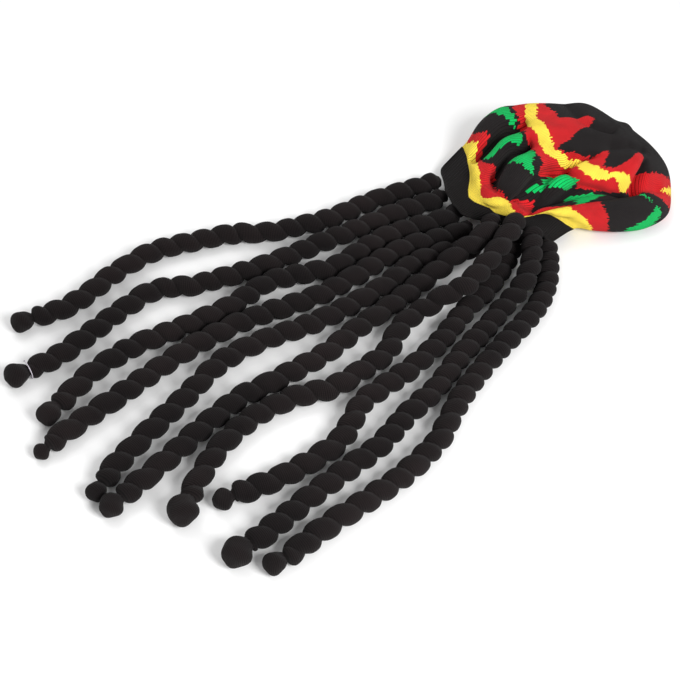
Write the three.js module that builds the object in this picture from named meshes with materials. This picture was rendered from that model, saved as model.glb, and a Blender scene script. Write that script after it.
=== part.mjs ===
// Rasta tam: a knitted cap lying slumped on its side, with ten twisted stuffed locks fanned out from its band.
// Millimetres, +Z up. The part lies on the plane z = 0, and its origin is under the middle of the cap.

import * as THREE from "three"
import { mergeVertices } from "three/addons/utils/BufferGeometryUtils.js"

// Driving dimensions
const CAP_LENGTH = 288 // left to right, as it lies
const CAP_DEPTH = 222 // front to back, as it lies
const CAP_HEIGHT = 70 // floor to the top of the puffed crown
const CROWN_WALL = 2.5 // knitted crown
const BAND_WALL = 3.5 // ribbed band, thicker than the crown
const CLEARANCE = 0.3 // between pieces that touch
const SEAM_CLEARANCE = 0.8 // between band and crown at the outer face, where the walls lean towards each other
const LOCK_DIAMETER = 26 // over both strands of a twisted lock
const LOCK_STEP_DIAMETERS = 1.5 // length of one straight step of a lock, in lock diameters

// Fineness of the faceted shapes
const AROUND = 48 // facets round a ring of the cap
const ROWS_PER_SECTION = 2 // facets between two sections of the cap
const LOCK_SIDES = 10
const KNOT_SIDES = 12
const KNOT_ROWS = 8

const HALF_LENGTH = CAP_LENGTH / 2
const HALF_DEPTH = CAP_DEPTH / 2

// Sections of the cap, from the free edge of the band to the middle of the crown. Each is a closed ring through
// the stations named in the columns, each an x, y and z as shares of half the length, half the depth and the height.
// back and front are the two ends of the flattened ring, left to roll pass over the top, and under lies on the floor.
const STATIONS = ["back", "left", "corner", "lap", "roll", "front", "under"]
const SECTIONS = {
  lip: {
    back: [-0.965, 0.31, 0.12], left: [-0.945, -0.38, 0.43], corner: [-0.83, -0.74, 0.47], lap: [-0.5, -0.91, 0.48],
    roll: [-0.25, -0.99, 0.43], front: [-0.12, -0.95, 0.12], under: [-0.55, -0.34, 0],
  },
  seam: {
    back: [-0.8, 0.53, 0.26], left: [-0.775, -0.17, 0.55], corner: [-0.7, -0.7, 0.63], lap: [-0.34, -0.87, 0.63],
    roll: [-0.1, -0.81, 0.57], front: [0.105, -0.74, 0.14], under: [-0.38, -0.18, 0],
  },
  first_stripe: {
    back: [-0.725, 0.6, 0.37], left: [-0.685, -0.14, 0.71], corner: [-0.6, -0.71, 0.76], lap: [-0.23, -0.79, 0.69],
    roll: [0.07, -0.77, 0.57], front: [0.265, -0.75, 0.11], under: [-0.26, -0.07, 0],
  },
  first_points: {
    back: [-0.6, 0.78, 0.57], left: [-0.56, -0.04, 0.81], corner: [-0.435, -0.6, 0.83], lap: [-0.04, -0.68, 0.66],
    roll: [0.265, -0.71, 0.56], front: [0.46, -0.77, 0.11], under: [-0.07, 0.07, 0],
  },
  lobes: {
    back: [-0.42, 0.92, 0.71], left: [-0.42, 0.15, 0.9], corner: [-0.29, -0.37, 0.9], lap: [0.21, -0.54, 0.66],
    roll: [0.53, -0.64, 0.54], front: [0.695, -0.72, 0.11], under: [0.14, 0.16, 0],
  },
  second_points: {
    back: [-0.28, 0.94, 0.77], left: [-0.26, 0.23, 0.94], corner: [-0.115, -0.23, 0.91], lap: [0.38, -0.42, 0.67],
    roll: [0.735, -0.54, 0.51], front: [0.91, -0.52, 0.13], under: [0.36, 0.22, 0],
  },
  second_stripe: {
    back: [-0.13, 0.95, 0.8], left: [-0.13, 0.34, 0.97], corner: [0.04, -0.11, 0.93], lap: [0.46, -0.27, 0.8],
    roll: [0.805, -0.28, 0.57], front: [1.0, -0.19, 0.17], under: [0.66, 0.18, 0],
  },
  crown_edge: {
    back: [0.1, 0.95, 0.81], left: [0.07, 0.37, 1.0], corner: [0.265, 0.01, 1.0], lap: [0.6, -0.08, 0.89],
    roll: [0.85, 0.01, 0.69], front: [0.985, 0.11, 0.4], under: [0.8, 0.6, 0.05],
  },
  crown_middle: {
    back: [0.35, 0.93, 0.83], left: [0.32, 0.48, 1.0], corner: [0.43, 0.26, 1.0], lap: [0.625, 0.17, 0.95],
    roll: [0.765, 0.21, 0.82], front: [0.82, 0.32, 0.71], under: [0.71, 0.69, 0.63],
  },
  crown_top: {
    back: [0.57, 0.47, 0.91], left: [0.57, 0.47, 0.91], corner: [0.57, 0.47, 0.91], lap: [0.57, 0.47, 0.91],
    roll: [0.57, 0.47, 0.91], front: [0.57, 0.47, 0.91], under: [0.57, 0.47, 0.91],
  },
}
const UNDER_PULL = 0.65 // how far the two floor stations beside under lie towards it
const SEAM_SECTION = 1 // the band ends and the crown begins at the second section

// Folds pressed into the top of the cap, each along a straight line in plan. Places are shares as above, depth is a
// share of the height, and half_width a share of half the depth.
const FOLDS = [
  { name: "first_pleat", from: [-0.68, 0.11], to: [-0.28, 0.47], depth: 0.13, half_width: 0.085 },
  { name: "second_pleat", from: [-0.6, -0.43], to: [-0.26, 0.11], depth: 0.13, half_width: 0.085 },
  { name: "third_pleat", from: [-0.32, -0.72], to: [0.06, -0.13], depth: 0.19, half_width: 0.085 },
  { name: "long_valley", from: [-0.24, -0.67], to: [0.82, -0.31], depth: 0.13, half_width: 0.085 },
]
const FOLD_END = 0.14 // a fold fades out over this share of half the depth
const FOLD_FLOOR = [0.21, 0.5] // folds grow from nothing to full between these shares of the height

// Routes of the locks, from the band to the knot, through the middle of each lock. The knot's diameter follows.
const LOCKS = [
  { name: "lock_01", knot: 26, route: [[-145, 4, 13], [-163, -4, 13], [-185, -14, 13], [-210, -25, 13],
    [-235, -37, 13], [-260, -53, 13], [-285, -68, 13], [-309, -77, 13], [-354, -91, 13], [-401, -95, 13],
    [-448, -109, 13], [-493, -126, 13], [-536, -165, 13], [-560, -196, 13], [-583, -218, 13], [-616, -234, 13]] },
  { name: "lock_02", knot: 28, route: [[-139, -26, 13], [-175, -44, 13], [-199, -55, 13], [-243, -82, 13],
    [-286, -106, 13], [-329, -132, 13], [-376, -157, 13], [-421, -175, 13], [-444, -183, 13], [-467, -185, 13],
    [-489, -193, 13], [-509, -212, 13], [-529, -234, 13], [-567, -279, 13], [-586, -297, 13], [-607, -311, 13]] },
  { name: "lock_03", knot: 27, route: [[-121, -57, 17], [-143, -68, 14], [-173, -79, 13], [-197, -90, 13],
    [-219, -102, 13], [-239, -118, 13], [-258, -135, 13], [-278, -152, 13], [-303, -160, 13], [-328, -167, 13],
    [-354, -177, 13], [-390, -211, 13], [-415, -229, 13], [-460, -255, 13], [-501, -279, 13], [-535, -311, 13],
    [-550, -332, 13], [-568, -360, 13]] },
  { name: "lock_04", knot: 18, route: [[-113, -86, 19.1], [-131, -95, 14], [-159, -106, 13], [-185, -114, 13],
    [-207, -128, 13], [-226, -143, 13], [-247, -162, 13], [-287, -193, 13], [-327, -214, 13], [-352, -225, 13],
    [-391, -246, 13], [-434, -278, 13], [-470, -312, 13], [-507, -349, 13], [-543, -384, 13], [-569, -411, 13]] },
  { name: "lock_05", knot: 22, route: [[-87, -98, 16.6], [-119, -123, 14], [-144, -128, 15], [-165, -136, 14],
    [-184, -146, 13], [-200, -162, 13], [-216, -180, 13], [-259, -214, 13], [-298, -240, 13], [-346, -263, 13],
    [-369, -276, 13], [-388, -289, 13], [-406, -307, 13], [-437, -353, 13], [-468, -395, 13], [-495, -435, 13],
    [-507, -458, 13]] },
  { name: "lock_06", knot: 26, route: [[-87, -99, 43], [-95, -117, 42], [-109, -134, 40], [-131, -149, 35],
    [-154, -165, 24], [-180, -183, 14], [-207, -209, 13], [-250, -249, 13], [-286, -287, 13], [-329, -318, 13],
    [-353, -335, 13], [-376, -349, 13], [-410, -386, 13], [-443, -427, 13], [-486, -476, 13]] },
  { name: "lock_07", knot: 33, route: [[-61, -104, 46.5], [-69, -124, 50], [-83, -148, 48], [-100, -173, 45],
    [-127, -207, 40], [-149, -214, 32], [-169, -221, 20], [-189, -232, 14], [-206, -255, 13], [-218, -284, 13],
    [-239, -305, 13], [-277, -335, 13], [-302, -343, 13], [-323, -351, 13], [-362, -377, 13], [-393, -415, 13],
    [-414, -461, 13], [-419, -478, 13]] },
  { name: "lock_08", knot: 23, route: [[-59, -103, 20], [-66, -125, 14], [-83, -160, 13], [-103, -193, 13],
    [-125, -218, 13], [-159, -269, 13], [-193, -308, 13], [-230, -340, 13], [-247, -357, 13], [-257, -380, 13],
    [-270, -406, 13], [-290, -425, 13], [-312, -441, 13], [-335, -455, 13], [-354, -464, 13], [-375, -473, 13]] },
  { name: "lock_09", knot: 32, route: [[-40.5, -111.5, 34], [-45, -131, 35], [-47, -151, 33], [-52, -174, 30],
    [-63, -195, 24], [-74, -207, 17], [-88, -222, 13], [-104, -246, 13], [-137, -289, 13], [-167, -336, 13],
    [-200, -373, 13], [-229, -412, 13], [-265, -444, 13], [-300, -476, 13], [-333, -509, 13], [-356, -530, 13]] },
  { name: "lock_10", knot: 24, route: [[-23, -111.4, 13], [-23, -133, 13], [-26, -157, 13], [-32, -186, 13],
    [-45, -215, 13], [-62, -240, 13], [-79, -261, 13], [-110, -301, 13], [-140, -346, 13], [-159, -386, 13],
    [-170, -408, 13], [-203, -446, 13], [-240, -477, 13], [-282, -509, 13], [-308, -533, 13], [-322, -543, 13]] },
]

const BLACK_KNIT = new THREE.MeshStandardMaterial({ color: 0x2b2525, roughness: 0.95, metalness: 0 })
const BAND_KNIT = new THREE.MeshStandardMaterial({ color: 0x232021, roughness: 0.95, metalness: 0 })
const CROWN_KNIT = new THREE.MeshStandardMaterial({ color: 0xc41e1e, roughness: 0.9, metalness: 0 })

function smoothstep(value) {
  const t = THREE.MathUtils.clamp(value, 0, 1)
  return t * t * (3 - 2 * t)
}

function stationPoints(section) {
  const at = {}
  for (const name of STATIONS) {
    const [x, y, z] = section[name]
    at[name] = new THREE.Vector3(x * HALF_LENGTH, y * HALF_DEPTH, z * CAP_HEIGHT)
  }
  const besideUnder = (end) => {
    const point = end.clone().lerp(at.under, UNDER_PULL)
    point.z = Math.min(point.z, at.under.z)
    return point
  }
  return [...STATIONS.slice(0, 6).map((name) => at[name]), besideUnder(at.front), at.under, besideUnder(at.back)]
}

function foldedDown(point) {
  let drop = 0
  for (const fold of FOLDS) {
    const from = new THREE.Vector2(fold.from[0] * HALF_LENGTH, fold.from[1] * HALF_DEPTH)
    const to = new THREE.Vector2(fold.to[0] * HALF_LENGTH, fold.to[1] * HALF_DEPTH)
    const length = from.distanceTo(to)
    const along = to.clone().sub(from).divideScalar(length)
    const offset = new THREE.Vector2(point.x, point.y).sub(from)
    const distance = offset.cross(along) / (fold.half_width * HALF_DEPTH)
    const run = offset.dot(along)
    const ends = smoothstep(Math.min(run, length - run) / (FOLD_END * HALF_DEPTH) + 1)
    drop += fold.depth * CAP_HEIGHT * Math.exp(-distance * distance) * ends
  }
  const share = point.z / CAP_HEIGHT
  const grown = THREE.MathUtils.clamp((share - FOLD_FLOOR[0]) / (FOLD_FLOOR[1] - FOLD_FLOOR[0]), 0, 1)
  return new THREE.Vector3(point.x, point.y, Math.max(point.z - drop * grown, 0))
}

// Point of the outer surface: section counts from 0 at the lip, around goes from 0 to 1 round the ring.
const RINGS = Object.values(SECTIONS).map(
  (section) => new THREE.CatmullRomCurve3(stationPoints(section), true, "catmullrom", 0.5),
)
const LAST_SECTION = RINGS.length - 1

function outerPoint(section, around) {
  const turn = ((around % 1) + 1) % 1
  const meridian = new THREE.CatmullRomCurve3(RINGS.map((ring) => ring.getPoint(turn)), false, "catmullrom", 0.5)
  return foldedDown(meridian.getPoint(section / LAST_SECTION))
}

function outwardNormal(section, around) {
  const low = Math.max(section - 0.05, 0)
  const high = Math.min(section + 0.05, LAST_SECTION - 0.02)
  const alongSection = outerPoint(high, around).sub(outerPoint(low, around))
  const alongRing = outerPoint(section, around + 0.01).sub(outerPoint(section, around - 0.01))
  return alongSection.cross(alongRing).normalize().negate()
}

function meshFrom(name, points, triangles, material) {
  const geometry = new THREE.BufferGeometry()
  geometry.setAttribute("position", new THREE.Float32BufferAttribute(points.flatMap((p) => [p.x, p.y, p.z]), 3))
  geometry.setIndex(triangles)
  const mesh = new THREE.Mesh(geometry, material)
  mesh.name = name
  geometry.computeVertexNormals()
  return mesh
}

// A shell between two sections: rings of outer points, then rings of inner points, joined at the open edges.
// When the last section is the crown's middle, each layer closes in one point there.
function shell(name, sections, wall, closed, material) {
  const points = []
  const triangles = []
  const layerStart = []
  for (const depth of [0, wall]) {
    layerStart.push(points.length)
    for (const section of sections) {
      for (let i = 0; i < AROUND; i++) {
        const around = i / AROUND
        const point = outerPoint(section, around)
        if (depth > 0) {
          point.addScaledVector(outwardNormal(section, around), -depth)
          point.z = Math.max(point.z, depth)
        }
        points.push(point)
      }
    }
    if (closed) {
      const top = outerPoint(LAST_SECTION, 0)
      points.push(top.setZ(top.z - depth))
    }
  }
  const quad = (a, b, c, d, flip) => {
    if (flip) triangles.push(a, c, b, a, d, c)
    else triangles.push(a, b, c, a, c, d)
  }
  layerStart.forEach((start, layer) => {
    const flip = layer === 1
    for (let row = 0; row < sections.length - 1; row++) {
      for (let i = 0; i < AROUND; i++) {
        const next = (i + 1) % AROUND
        const low = start + row * AROUND
        const high = low + AROUND
        quad(low + i, low + next, high + next, high + i, flip)
      }
    }
    if (closed) {
      const top = start + sections.length * AROUND
      const last = top - AROUND
      for (let i = 0; i < AROUND; i++) {
        const next = (i + 1) % AROUND
        if (flip) triangles.push(last + i, top, last + next)
        else triangles.push(last + i, last + next, top)
      }
    }
  })
  const edges = closed ? [0] : [0, sections.length - 1]
  for (const row of edges) {
    for (let i = 0; i < AROUND; i++) {
      const next = (i + 1) % AROUND
      const outer = layerStart[0] + row * AROUND
      const inner = layerStart[1] + row * AROUND
      quad(inner + i, inner + next, outer + next, outer + i, row > 0)
    }
  }
  return meshFrom(name, points, triangles, material)
}

// Where the band stops short of the seam, as a share of the section before it, so that the clearance stays open.
function seamShare() {
  let shortest = Infinity
  for (let i = 0; i < AROUND; i++) {
    const around = i / AROUND
    shortest = Math.min(shortest, outerPoint(SEAM_SECTION, around).distanceTo(outerPoint(SEAM_SECTION - 0.1, around)))
  }
  return (SEAM_CLEARANCE / shortest) * 0.1
}

function band() {
  const end = SEAM_SECTION - seamShare()
  const rows = ROWS_PER_SECTION + 1
  const sections = Array.from({ length: rows + 1 }, (_, row) => (end * row) / rows)
  return shell("band", sections, BAND_WALL, false, BAND_KNIT)
}

function crown() {
  const sections = []
  for (let row = 0; row < (LAST_SECTION - SEAM_SECTION) * ROWS_PER_SECTION; row++) {
    sections.push(SEAM_SECTION + row / ROWS_PER_SECTION)
  }
  return shell("crown", sections, CROWN_WALL, true, CROWN_KNIT)
}

function closedTube(curve, radius, sides, steps) {
  const section = new THREE.Shape()
  for (let i = 0; i < sides; i++) {
    const angle = (2 * Math.PI * i) / sides
    if (i === 0) section.moveTo(radius * Math.cos(angle), radius * Math.sin(angle))
    else section.lineTo(radius * Math.cos(angle), radius * Math.sin(angle))
  }
  section.closePath()
  const tube = new THREE.ExtrudeGeometry(section, { steps, extrudePath: curve, bevelEnabled: false })
  const position = tube.getAttribute("position")
  for (let i = 0; i < position.count; i++) position.setZ(i, Math.max(position.getZ(i), 0))
  return tube
}

function welded(geometry) {
  geometry.deleteAttribute("normal")
  geometry.deleteAttribute("uv")
  const merged = mergeVertices(geometry, 1e-4)
  merged.computeVertexNormals()
  return merged
}

function lockAndKnot(lock) {
  const curve = new THREE.CatmullRomCurve3(lock.route.map((p) => new THREE.Vector3(...p)), false, "catmullrom", 0.5)
  const steps = Math.round(curve.getLength() / (LOCK_STEP_DIAMETERS * LOCK_DIAMETER))
  const rope = new THREE.Mesh(welded(closedTube(curve, LOCK_DIAMETER / 2, LOCK_SIDES, steps)), BLACK_KNIT)
  rope.name = lock.name

  const radius = lock.knot / 2
  const knot = new THREE.Mesh(welded(new THREE.SphereGeometry(radius, KNOT_SIDES, KNOT_ROWS)), BLACK_KNIT)
  knot.name = lock.name.replace("lock", "knot")
  const end = curve.getPoint(1)
  const ahead = curve.getTangent(1).setZ(0).normalize()
  knot.position.copy(end).addScaledVector(ahead, radius + CLEARANCE).setZ(radius)
  knot.quaternion.setFromUnitVectors(new THREE.Vector3(0, 1, 0), ahead)
  return [rope, knot]
}

const tam = new THREE.Group()
tam.name = "rasta_tam"
const cap = [band(), crown()]
tam.add(...cap)
for (const lock of LOCKS) tam.add(...lockAndKnot(lock))

// The origin goes under the middle of the cap.
const capBox = new THREE.Box3()
for (const piece of cap) capBox.expandByObject(piece)
const middle = capBox.getCenter(new THREE.Vector3())
tam.position.set(-middle.x, -middle.y, 0)

export default tam
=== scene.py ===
# Rasta tam: a knitted cap lying slumped on its side, with ten coiled, stuffed locks fanned out from
# its band. Metres, +Z up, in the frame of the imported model.

import math

import bpy
import numpy as np
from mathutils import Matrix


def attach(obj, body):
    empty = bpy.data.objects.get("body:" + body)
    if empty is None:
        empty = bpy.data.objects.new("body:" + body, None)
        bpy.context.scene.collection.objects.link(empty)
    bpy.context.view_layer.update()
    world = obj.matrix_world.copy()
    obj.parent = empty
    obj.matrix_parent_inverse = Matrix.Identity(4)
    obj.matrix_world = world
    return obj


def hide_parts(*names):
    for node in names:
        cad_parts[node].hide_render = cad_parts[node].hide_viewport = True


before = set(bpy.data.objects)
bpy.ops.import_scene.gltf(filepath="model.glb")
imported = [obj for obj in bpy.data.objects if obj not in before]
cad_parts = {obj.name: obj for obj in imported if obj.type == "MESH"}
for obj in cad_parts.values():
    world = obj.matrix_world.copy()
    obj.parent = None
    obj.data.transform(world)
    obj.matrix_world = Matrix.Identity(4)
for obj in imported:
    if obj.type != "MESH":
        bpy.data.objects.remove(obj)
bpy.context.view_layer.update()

MM = 0.001

# Sizes of the real object
CAP_LENGTH = 288 * MM
CAP_DEPTH = 222 * MM
CAP_HEIGHT = 70 * MM
CROWN_WALL = 2.5 * MM
BAND_WALL = 3.5 * MM
LOCK_DIAMETER = 26 * MM
ORIGIN_SHIFT = np.array([-1.751, 1.216, 0.0]) * MM  # from the tables' own origin to the middle of the cap
HALF_LENGTH = CAP_LENGTH / 2
HALF_DEPTH = CAP_DEPTH / 2

# Fineness of the meshes
CROWN_WALES = 264  # stitches round the crown
CROWN_COURSES = 138  # rows of stitches from the seam to the middle
BAND_RIBS = 126
POINTS_PER_RIB = 6
BAND_ROWS = 20
LIP_ROWS = 7
LOCK_STEP = 1.25 * MM
LOCK_POINTS_ROUND = 48
DENSE_POINTS = 4000  # along the curve of a lock, before even spacing
KNOT_ROWS = 40
KNOT_POINTS_ROUND = 56
THREAD_ROWS = 60
THREAD_POINTS_ROUND = 8

# Coil of a lock: one stuffed tube wound up tight, so that a single deep crease runs round it
CREASE_DEPTH = 4.9 * MM
CREASE_POWER = 2.5  # higher is a fuller bead with a narrower crease
COIL_EASING = 1.3  # how late the coil goes from its length at the band to that at the knot
COIL_WANDER = 0.10  # of a turn
UNEVEN_FULLNESS = 0.03
KNIT_RING = 1.9 * MM  # one row of the fine knit of a lock
LOCK_RIB = 2.2 * MM  # one stitch of it

# Ends of a lock: length of the taper, share of the thickness left at its end, and how far beyond it
# the closing ring lies, at what share of the size
ROOT = dict(taper=9 * MM, share=0.62, beyond=3 * MM, closing=0.25)
TIP = dict(taper=8 * MM, share=0.5, beyond=2.5 * MM, closing=0.6)
OFF_FLOOR = 0.2 * MM  # least height of locks, knots and thread

# Knots: slanting folds and fine puckers, as shares of the radius, and a short neck towards the lock
KNOT_GAP = 0.3 * MM
KNOT_FULLNESS = 0.93
KNOT_SQUARENESS = 0.02
KNOT_FOLDS = dict(count=2, slant=3.2, height=0.075)
KNOT_PUCKERS = dict(count=9, slant=2, height=0.03, place=0.35)
KNOT_NECK = dict(angle=0.62, reach=1.0 * MM, radius=0.42)
KNOT_RIB = 1.6 * MM
KNOT_WINDING = 1.2  # how far its rings of knit slant in one turn, in radii
POLE = 0.02  # angle left open at each end of a knot, and closed by a cap

# A pale thread lies round the end of one lock
THREADED_LOCK = "lock_02"
THREAD_RING = 10.5 * MM
THREAD_RADIUS = 0.55 * MM
THREAD_WAVE = 0.8 * MM
THREAD_OPENING = (0.4, 0.3)  # angles left open before its start and after its end

# Surface of the cap
RIB_HEIGHT = 0.6 * MM
RIB_AT_LIP = 0.3  # share of the rib's height at the free edge
RIB_RISE = 6  # how fast it grows from there to the full height
LIP_WAVE = 0.03  # unevenness of the band's free edge, in sections
LIP_WAVES = (7, 17)  # waves round the edge, the second kind weaker
SECOND_LIP_WAVE = 0.6
LIP_STEP = 0.1  # sections in from the free edge, to find which way is outward
OPEN_MIDDLE = 0.04  # sections left to the fan that closes the crown
RELIEF_START = 0.4  # sections over which puffs and creases grow from the seam
LYING_PART = (10 * MM, 25 * MM)  # heights between which the lying side takes on relief

# Camera, as the photo was taken
CAMERA_PLACE = np.array([-0.270, -1.120, 0.960]) + ORIGIN_SHIFT
CAMERA_PITCH = math.radians(48)
CAMERA_LENS = 60.88

# Yarns
YELLOW = (1.0, 0.76, 0.08)
RED = (0.60, 0.013, 0.017)
GREEN = (0.002, 0.46, 0.10)
BLACK = (0.011, 0.0085, 0.0088)
BAND_BLACK = (0.008, 0.0066, 0.0066)
LOCK_BLACK = (0.0068, 0.0049, 0.0052)
LOCK_BROWN = (0.0125, 0.0086, 0.0088)
PALE_THREAD = (0.62, 0.57, 0.64)
SHADE_SWING = 0.5  # how far the shade of a yarn and of its fibres wanders
SHADE_SCALE = 60.0
FIBRE_SCALE = 900.0
LOCK_FIBRE_SCALE = 1200.0
THREAD_FIBRE_SCALE = 2500.0
LOCK_PATCH_SCALE = 9.0  # patches in which the locks are blacker or browner
LOCK_PATCH_ENDS = (0.35, 0.7)
FIBRE_RELIEF = 0.25
CROWN_KNIT_DEPTH = 1.2 * MM
BAND_KNIT_DEPTH = 0.7 * MM
LOCK_KNIT_DEPTH = 0.5 * MM
THREAD_DEPTH = 0.15 * MM
PAINTED_SHADE_IN_HOLLOWS = 0.2  # painted shade: brightness of the colour at the bottom of the knit
PAINTED_LIGHT_ON_TOPS = 1.25  # painted light: added to that brightness at its top
LEG_HOLLOW = 0.35  # how far the legs of a stitch fall off to their sides
LEG_SLANT = 1.4
LOOP_RELIEF = 0.2
RING_RELIEF = 0.35
RIB_RELIEF = 0.12

# Studio
STUDIO_MIDDLE = (-0.25, -0.2, 0)
FLOOR_HALF = 4.0
LIGHTS = [
    dict(name="key", place=(0.65, -1.35, 1.2), size=0.7, power=36),
    dict(name="fill", place=(-0.9, 0.7, 1.6), size=1.4, power=13),
]
WORLD_STRENGTH = 0.6

# Sections of the cap, from the free edge of the band to the middle of the crown, as shares of half
# the length, half the depth and the height.
STATIONS = ["back", "left", "corner", "lap", "roll", "front", "under"]
SECTIONS = {
    "lip": dict(
        back=(-0.965, 0.31, 0.12), left=(-0.945, -0.38, 0.43), corner=(-0.83, -0.74, 0.47),
        lap=(-0.5, -0.91, 0.48), roll=(-0.25, -0.99, 0.43), front=(-0.12, -0.95, 0.12),
        under=(-0.55, -0.34, 0)),
    "seam": dict(
        back=(-0.8, 0.53, 0.26), left=(-0.775, -0.17, 0.55), corner=(-0.7, -0.7, 0.63),
        lap=(-0.34, -0.87, 0.63), roll=(-0.1, -0.81, 0.57), front=(0.105, -0.74, 0.14),
        under=(-0.38, -0.18, 0)),
    "first_stripe": dict(
        back=(-0.725, 0.6, 0.37), left=(-0.685, -0.14, 0.71), corner=(-0.6, -0.71, 0.76),
        lap=(-0.23, -0.79, 0.69), roll=(0.07, -0.77, 0.57), front=(0.265, -0.75, 0.11),
        under=(-0.26, -0.07, 0)),
    "first_points": dict(
        back=(-0.6, 0.78, 0.57), left=(-0.56, -0.04, 0.81), corner=(-0.435, -0.6, 0.83),
        lap=(-0.04, -0.68, 0.66), roll=(0.265, -0.71, 0.56), front=(0.46, -0.77, 0.11),
        under=(-0.07, 0.07, 0)),
    "lobes": dict(
        back=(-0.42, 0.92, 0.71), left=(-0.42, 0.15, 0.9), corner=(-0.29, -0.37, 0.9),
        lap=(0.21, -0.54, 0.66), roll=(0.53, -0.64, 0.54), front=(0.695, -0.72, 0.11),
        under=(0.14, 0.16, 0)),
    "second_points": dict(
        back=(-0.28, 0.94, 0.77), left=(-0.26, 0.23, 0.94), corner=(-0.115, -0.23, 0.91),
        lap=(0.38, -0.42, 0.67), roll=(0.735, -0.54, 0.51), front=(0.91, -0.52, 0.13),
        under=(0.36, 0.22, 0)),
    "second_stripe": dict(
        back=(-0.13, 0.95, 0.8), left=(-0.13, 0.34, 0.97), corner=(0.04, -0.11, 0.93),
        lap=(0.46, -0.27, 0.8), roll=(0.805, -0.28, 0.57), front=(1.0, -0.19, 0.17),
        under=(0.66, 0.18, 0)),
    "crown_edge": dict(
        back=(0.1, 0.95, 0.81), left=(0.07, 0.37, 1.0), corner=(0.265, 0.01, 1.0),
        lap=(0.6, -0.08, 0.89), roll=(0.85, 0.01, 0.69), front=(0.985, 0.11, 0.4),
        under=(0.8, 0.6, 0.05)),
    "crown_middle": dict(
        back=(0.35, 0.93, 0.83), left=(0.32, 0.48, 1.0), corner=(0.43, 0.26, 1.0),
        lap=(0.625, 0.17, 0.95), roll=(0.765, 0.21, 0.82), front=(0.82, 0.32, 0.71),
        under=(0.71, 0.69, 0.63)),
    "crown_top": dict(
        back=(0.57, 0.47, 0.91), left=(0.57, 0.47, 0.91), corner=(0.57, 0.47, 0.91),
        lap=(0.57, 0.47, 0.91), roll=(0.57, 0.47, 0.91), front=(0.57, 0.47, 0.91),
        under=(0.57, 0.47, 0.91)),
}
UNDER_PULL = 0.65  # how near the lowest points beside the middle of the lying side are to it
LAST_SECTION = len(SECTIONS) - 1

# Folds pressed into the top of the cap: ends in plan, depth as a share of the height, half width
# as a share of half the depth.
FOLDS = [
    dict(name="first_pleat", start=(-0.68, 0.11), end=(-0.28, 0.47), depth=0.13, half_width=0.085),
    dict(name="second_pleat", start=(-0.6, -0.43), end=(-0.26, 0.11), depth=0.13, half_width=0.085),
    dict(name="third_pleat", start=(-0.32, -0.72), end=(0.06, -0.13), depth=0.19, half_width=0.085),
    dict(name="long_valley", start=(-0.24, -0.67), end=(0.82, -0.31), depth=0.13, half_width=0.085),
]
FOLD_END = 0.14  # of half the depth, over which a fold fades out
FOLD_FLOOR = (0.21, 0.5)  # shares of the height between which folds take hold

# Puffs and creases of the soft knit, as places round the ring and sections, with a height or depth
# in mm. Puffs have a half width in each measure; creases follow a line and have a half width in mm.
PUFFS = [
    dict(name="back_lobe", place=(0.04, 3.6), half=(0.03, 1.1), height=5.8),
    dict(name="second_lobe", place=(0.11, 3.8), half=(0.024, 1.1), height=6.5),
    dict(name="third_lobe", place=(0.193, 3.8), half=(0.036, 1.1), height=10.9),
    dict(name="fourth_lobe", place=(0.274, 4.2), half=(0.022, 0.9), height=8.7),
    dict(name="fifth_lobe", place=(0.335, 4.0), half=(0.02, 0.9), height=4.3),
    dict(name="side_lobe", place=(0.45, 3.4), half=(0.06, 1.5), height=8.7),
    dict(name="first_yellow_puff", place=(0.235, 1.7), half=(0.02, 0.6), height=5.8),
    dict(name="back_yellow_puff", place=(0.12, 1.6), half=(0.04, 0.6), height=4.3),
    dict(name="side_yellow_puff", place=(0.43, 1.5), half=(0.05, 0.6), height=5.8),
    dict(name="left_red_puff", place=(0.11, 6.0), half=(0.03, 0.9), height=5.8),
    dict(name="middle_red_puff", place=(0.3, 5.6), half=(0.03, 0.7), height=7.2),
    dict(name="right_red_puff", place=(0.36, 6.4), half=(0.02, 0.8), height=5.8),
]
CREASES = [
    dict(name="behind_second_lobe", depth=12, half_width=4.2,
         line=[(0.08, 1.9), (0.08, 3.2), (0.078, 4.2), (0.074, 5.3)]),
    dict(name="between_second_and_third", depth=13.5, half_width=4.6,
         line=[(0.15, 2.8), (0.142, 3.6), (0.136, 4.3), (0.13, 5.0)]),
    dict(name="under_third_lobe", depth=8.5, half_width=4.6,
         line=[(0.155, 2.7), (0.19, 2.45), (0.235, 2.6), (0.25, 2.9)]),
    dict(name="beside_third_lobe", depth=13.5, half_width=4.6,
         line=[(0.25, 2.6), (0.243, 3.4), (0.237, 4.2), (0.233, 5.0), (0.24, 5.9), (0.252, 6.6)]),
    dict(name="beside_fourth_lobe", depth=11.5, half_width=4.6,
         line=[(0.325, 0.8), (0.31, 2.0), (0.302, 3.0), (0.3, 4.3)]),
    dict(name="behind_side_lobe", depth=11.2, half_width=5.5,
         line=[(0.345, 1.4), (0.37, 2.6), (0.385, 3.8), (0.375, 4.8), (0.39, 5.5), (0.4, 6.3)]),
    dict(name="past_second_yellow", depth=10, half_width=4,
         line=[(0.392, 5.3), (0.395, 6.0), (0.39, 6.8)]),
    dict(name="above_fourth_lobe", depth=9, half_width=3.8,
         line=[(0.245, 5.3), (0.27, 5.0), (0.295, 4.55), (0.32, 4.8), (0.36, 5.1)]),
    dict(name="crown_dent", depth=7, half_width=9,
         line=[(0.27, 7.4), (0.33, 7.7), (0.4, 7.6)]),
    dict(name="crown_crease", depth=5.6, half_width=7,
         line=[(0.02, 7.4), (0.14, 7.9), (0.24, 8.3)]),
]
ROUND_RING = 500  # mm round the cap, for the width of a crease
ONE_SECTION = 30  # mm from one section to the next

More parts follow.
